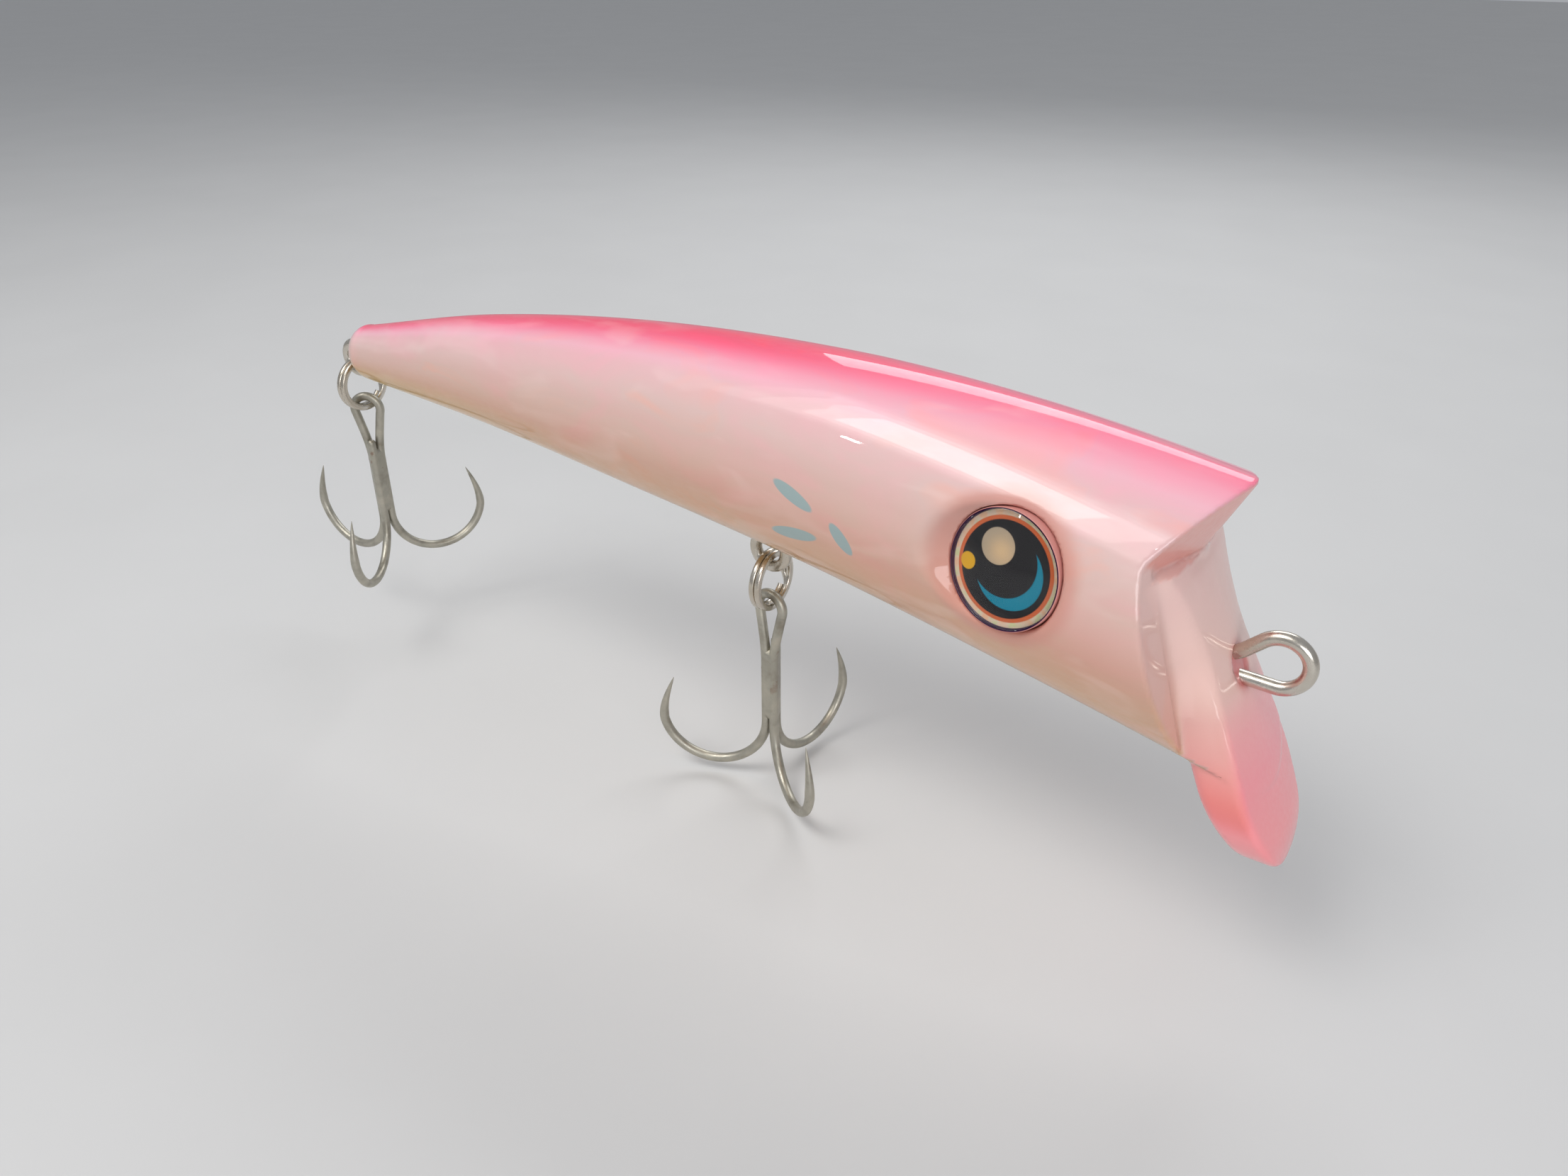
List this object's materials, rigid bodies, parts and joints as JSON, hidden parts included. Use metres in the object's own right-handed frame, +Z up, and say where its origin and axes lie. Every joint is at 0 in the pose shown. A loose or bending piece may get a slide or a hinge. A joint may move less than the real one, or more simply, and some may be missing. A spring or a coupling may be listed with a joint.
{
  "type": "topwater popper fishing lure",
  "caption": "Hollow hard-bodied surface popper with a scooped mouth, duckbill lip, doll eyes, wire line tie, and belly and tail treble hooks hung on split rings.",
  "frame": {"origin": "centre of the line-tie loop, on the lure's middle plane", "axes": "+X towards the nose along the lure, +Z up towards the back, -Y the lure's right side"},
  "size_m": [0.115, 0.022, 0.045],
  "materials": {
    "paint": "gloss clear coat over pearl and pink",
    "eye_print": "printed disc, orange and cream rings round a black pupil",
    "eye_dome": "clear domed epoxy",
    "stainless": "bright drawn stainless wire",
    "hook_steel": "dull tinned hook wire",
    "ballast": "dull grey metal",
    "rattle_plastic": "translucent moulded plastic",
    "ball_steel": "polished ball"
  },
  "bodies": {
    "body": {"shell_right": "paint", "shell_left": "paint", "eye_print_right": "eye_print", "eye_print_left": "eye_print", "eye_dome_right": "eye_dome", "eye_dome_left": "eye_dome", "line_tie": "stainless", "belly_hanger": "stainless", "tail_hanger": "stainless", "belly_ballast": "ballast", "tail_ballast": "ballast", "rattle_tube": "rattle_plastic", "rattle_plug_rear": "rattle_plastic", "rattle_plug_front": "rattle_plastic"},
    "rattle_balls": {"rattle_ball_1": "ball_steel", "rattle_ball_2": "ball_steel", "rattle_ball_3": "ball_steel"},
    "belly_ring": {"belly_split_ring": "stainless"},
    "belly_hook": {"belly_treble": "hook_steel"},
    "tail_ring": {"tail_split_ring": "stainless"},
    "tail_hook": {"tail_treble": "hook_steel"}
  },
  "joints": [
    {"name": "rattle_slide", "type": "slide", "parent": "body", "child": "rattle_balls", "axis": [1, 0, 0], "range_m": [0, 0.0052]},
    {"name": "belly_ring_swing", "type": "hinge", "parent": "body", "child": "belly_ring", "pos_m": [-0.0443, 0, -0.00525], "axis": [1, 0, 0], "range_deg": [-50, 50]},
    {"name": "belly_hook_swing", "type": "hinge", "parent": "belly_ring", "child": "belly_hook", "pos_m": [-0.0443, 0, -0.0094], "axis": [0, 1, 0], "range_deg": [-55, 55]},
    {"name": "tail_ring_swing", "type": "hinge", "parent": "body", "child": "tail_ring", "pos_m": [-0.0995, 0, 0.0028], "axis": [1, 0, 0], "range_deg": [-50, 50]},
    {"name": "tail_hook_swing", "type": "hinge", "parent": "tail_ring", "child": "tail_hook", "pos_m": [-0.0995, 0, -0.00135], "axis": [0, 1, 0], "range_deg": [-60, 60]}
  ]
}
